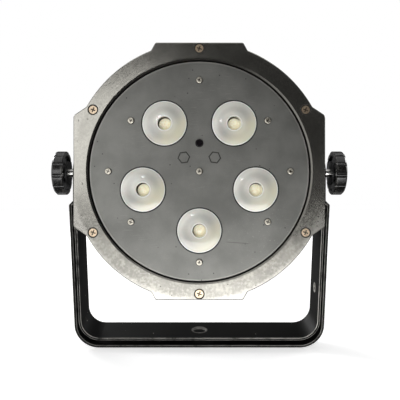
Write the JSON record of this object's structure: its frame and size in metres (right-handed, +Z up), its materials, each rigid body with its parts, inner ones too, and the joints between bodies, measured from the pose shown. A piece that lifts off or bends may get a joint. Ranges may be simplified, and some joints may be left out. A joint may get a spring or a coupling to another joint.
{
  "type": "par can light",
  "caption": "Slim LED par stage light: flat squared bezel, lenses in a ring on a recessed plate, finned cooling inside, rear sockets, and a twin nested hanging bracket on side knobs.",
  "frame": {"origin": "middle of the clamp hole in the outer bracket, half way through the strap", "axes": "+Z up with the lamp above its bracket, light shines along -Y, +X to the right as seen from the front"},
  "size_m": [0.2664, 0.084, 0.2866],
  "materials": {
    "ring_paint": "satin black paint on cast metal, rubbed and scuffed at the edges",
    "plate_paint": "satin dark grey paint, fine scratches",
    "ring_screw_brass": "yellow passivated, dull",
    "screw_steel": "zinc plated",
    "screw_black": "black oxide",
    "post_brass": "machined",
    "window_black": "glossy near-black",
    "lens_plastic": "milky clear, slightly yellowed, glossy",
    "carrier_plastic": "matt black moulding",
    "led_yellow": "phosphor and silicone",
    "board_white": "white solder mask",
    "pad_grey": "soft grey pad",
    "sink_aluminium": "raw extruded",
    "board_green": "green solder mask",
    "module_black": "moulded",
    "housing_paint": "fine-textured black powder coat",
    "panel_paint": "fine-textured black powder coat",
    "foot_rubber": "matt",
    "socket_plastic": "moulded, semi-gloss",
    "socket_metal": "black nickel",
    "latch_metal": "plain",
    "fuse_glass": "clear",
    "eye_steel": "satin black paint",
    "button_plastic": "moulded",
    "bracket_paint": "satin black paint, worn bright along the edges",
    "knob_plastic": "hard black plastic with worn highlights",
    "stud_steel": "bright zinc",
    "washer_nylon": "black nylon"
  },
  "bodies": {
    "outer_bracket": {"outer_bracket": "bracket_paint"},
    "head": {"board_screws": "screw_steel", "clinch_nuts": "plate_paint", "connector_screws": "screw_black", "control_board": "board_green", "display_module": "module_black", "display_window": "window_black", "dmx_input": "socket_metal", "dmx_output": "socket_metal", "eye_screws": "screw_black", "fan_frame": "carrier_plastic", "fan_screws": "screw_steel", "front_plate": "plate_paint", "front_ring": "ring_paint", "fuse_holder": "socket_plastic", "heatsink": "sink_aluminium", "heatsink_screws": "screw_steel", "housing_shell": "housing_paint", "ir_receiver": "module_black", "ir_window": "window_black", "led_board": "board_white", "led_driver_board": "board_green", "led_emitters": "led_yellow", "lens_1": "lens_plastic", "lens_2": "lens_plastic", "lens_3": "lens_plastic", "lens_4": "lens_plastic", "lens_5": "lens_plastic", "lens_carrier": "carrier_plastic", "pivot_inserts": "post_brass", "pivot_washers": "foot_rubber", "plate_posts": "post_brass", "plate_screws": "screw_steel", "power_inlet": "socket_plastic", "power_outlet": "socket_plastic", "power_supply_board": "board_green", "rear_panel": "panel_paint", "rear_screws": "screw_black", "ring_screws": "ring_screw_brass", "rubber_feet": "foot_rubber", "safety_eye": "eye_steel", "thermal_pad": "pad_grey"},
    "inner_bracket": {"inner_bracket": "bracket_paint"},
    "fan": {"fan_rotor": "carrier_plastic"},
    "left_knob_washer": {"left_knob_washer": "washer_nylon"},
    "left_knob": {"left_knob_grip": "knob_plastic", "left_knob_stud": "stud_steel"},
    "right_knob_washer": {"right_knob_washer": "washer_nylon"},
    "right_knob": {"right_knob_grip": "knob_plastic", "right_knob_stud": "stud_steel"},
    "menu_button_1": {"menu_button_1": "button_plastic"},
    "menu_button_2": {"menu_button_2": "button_plastic"},
    "menu_button_3": {"menu_button_3": "button_plastic"},
    "menu_button_4": {"menu_button_4": "button_plastic"},
    "dmx_latch": {"dmx_output_latch": "latch_metal"},
    "fuse": {"fuse": "fuse_glass"},
    "fuse_cap": {"fuse_cap": "socket_plastic"}
  },
  "joints": [
    {"name": "head_tilt", "type": "hinge", "parent": "outer_bracket", "child": "head", "pos_m": [0, -0.03059, 0.16189], "axis": [1, 0, 0], "continuous": true},
    {"name": "bracket_spread", "type": "hinge", "parent": "outer_bracket", "child": "inner_bracket", "pos_m": [0, -0.03059, 0.16189], "axis": [1, 0, 0], "continuous": true},
    {"name": "fan_spin", "type": "hinge", "parent": "head", "child": "fan", "pos_m": [0, -0.01709, 0.16189], "axis": [0, 1, 0], "continuous": true},
    {"name": "left_knob_travel", "type": "slide", "parent": "head", "child": "left_knob_washer", "axis": [-1, 0, 0], "range_m": [-0.00619, 0.00501]},
    {"name": "left_knob_turn", "type": "hinge", "parent": "left_knob_washer", "child": "left_knob", "pos_m": [-0.1232, -0.03059, 0.16189], "axis": [-1, 0, 0], "range_deg": [-1780, 1440]},
    {"name": "right_knob_travel", "type": "slide", "parent": "head", "child": "right_knob_washer", "axis": [1, 0, 0], "range_m": [-0.00619, 0.00501]},
    {"name": "right_knob_turn", "type": "hinge", "parent": "right_knob_washer", "child": "right_knob", "pos_m": [0.1232, -0.03059, 0.16189], "axis": [1, 0, 0], "range_deg": [-1780, 1440]},
    {"name": "menu_button_1_press", "type": "slide", "parent": "head", "child": "menu_button_1", "axis": [0, -1, 0], "range_m": [0, 0.0005], "stiffness_N_per_m": 800},
    {"name": "menu_button_2_press", "type": "slide", "parent": "head", "child": "menu_button_2", "axis": [0, -1, 0], "range_m": [0, 0.0005], "stiffness_N_per_m": 800},
    {"name": "menu_button_3_press", "type": "slide", "parent": "head", "child": "menu_button_3", "axis": [0, -1, 0], "range_m": [0, 0.0005], "stiffness_N_per_m": 800},
    {"name": "menu_button_4_press", "type": "slide", "parent": "head", "child": "menu_button_4", "axis": [0, -1, 0], "range_m": [0, 0.0005], "stiffness_N_per_m": 800},
    {"name": "dmx_latch_press", "type": "slide", "parent": "head", "child": "dmx_latch", "axis": [0, -1, 0], "range_m": [0, 0.0015], "stiffness_N_per_m": 900},
    {"name": "fuse_travel", "type": "slide", "parent": "head", "child": "fuse", "axis": [0, 1, 0], "range_m": [0, 0.00451]},
    {"name": "fuse_cap_turn", "type": "hinge", "parent": "fuse", "child": "fuse_cap", "pos_m": [0, 0.01441, 0.10189], "axis": [0, 1, 0], "range_deg": [0, 1080]}
  ],
  "couplings": [
    {"joint": "left_knob_travel", "follows": "left_knob_turn", "m_per_rad": 0.00019894},
    {"joint": "right_knob_travel", "follows": "right_knob_turn", "m_per_rad": 0.00019894},
    {"joint": "fuse_travel", "follows": "fuse_cap_turn", "m_per_rad": 0.00023873}
  ]
}
